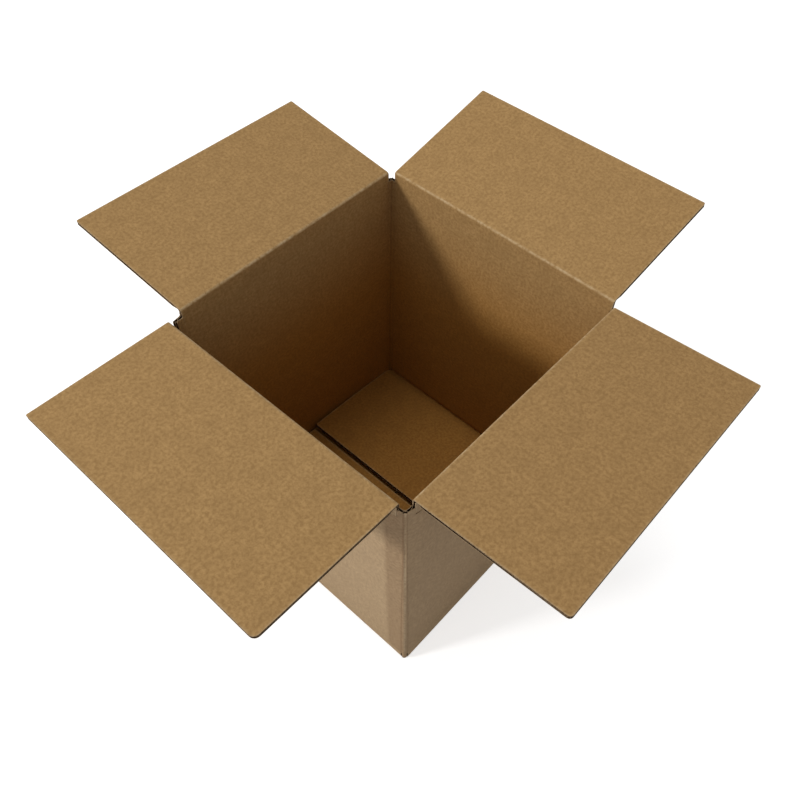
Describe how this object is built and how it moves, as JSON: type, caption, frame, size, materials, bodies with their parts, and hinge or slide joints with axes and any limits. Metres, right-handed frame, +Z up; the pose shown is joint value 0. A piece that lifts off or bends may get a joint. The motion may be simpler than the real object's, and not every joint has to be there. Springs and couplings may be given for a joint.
{
  "type": "open cardboard box",
  "caption": "Plain brown corrugated cardboard shipping box, standing open with its top flaps folded outward.",
  "frame": {"origin": "centre of the box's base, on the surface it stands on", "axes": "+Z up out of the open top; -Y towards the front wall, +X towards the right wall"},
  "size_m": [0.4124, 0.4107, 0.2645],
  "materials": {
    "kraft_board": "matt brown kraft liner over corrugated board",
    "packing_tape": "thin glossy tan film"
  },
  "bodies": {
    "box": {"box_body": "kraft_board", "bottom_tape": "packing_tape"},
    "front_flap": {"front_flap": "kraft_board"},
    "back_flap": {"back_flap": "kraft_board"},
    "left_flap": {"left_flap": "kraft_board"},
    "right_flap": {"right_flap": "kraft_board"}
  },
  "joints": [
    {"name": "front_fold", "type": "hinge", "parent": "box", "child": "front_flap", "pos_m": [0, -0.1036, 0.2387], "axis": [-1, 0, 0], "range_deg": [-47.3, 177.7]},
    {"name": "back_fold", "type": "hinge", "parent": "box", "child": "back_flap", "pos_m": [0, 0.1036, 0.2387], "axis": [1, 0, 0], "range_deg": [-58.4, 166.6]},
    {"name": "left_fold", "type": "hinge", "parent": "box", "child": "left_flap", "pos_m": [-0.1036, 0, 0.243], "axis": [0, 1, 0], "range_deg": [-51.1, 173.9]},
    {"name": "right_fold", "type": "hinge", "parent": "box", "child": "right_flap", "pos_m": [0.1036, 0, 0.243], "axis": [0, -1, 0], "range_deg": [-49.9, 175.1]}
  ]
}
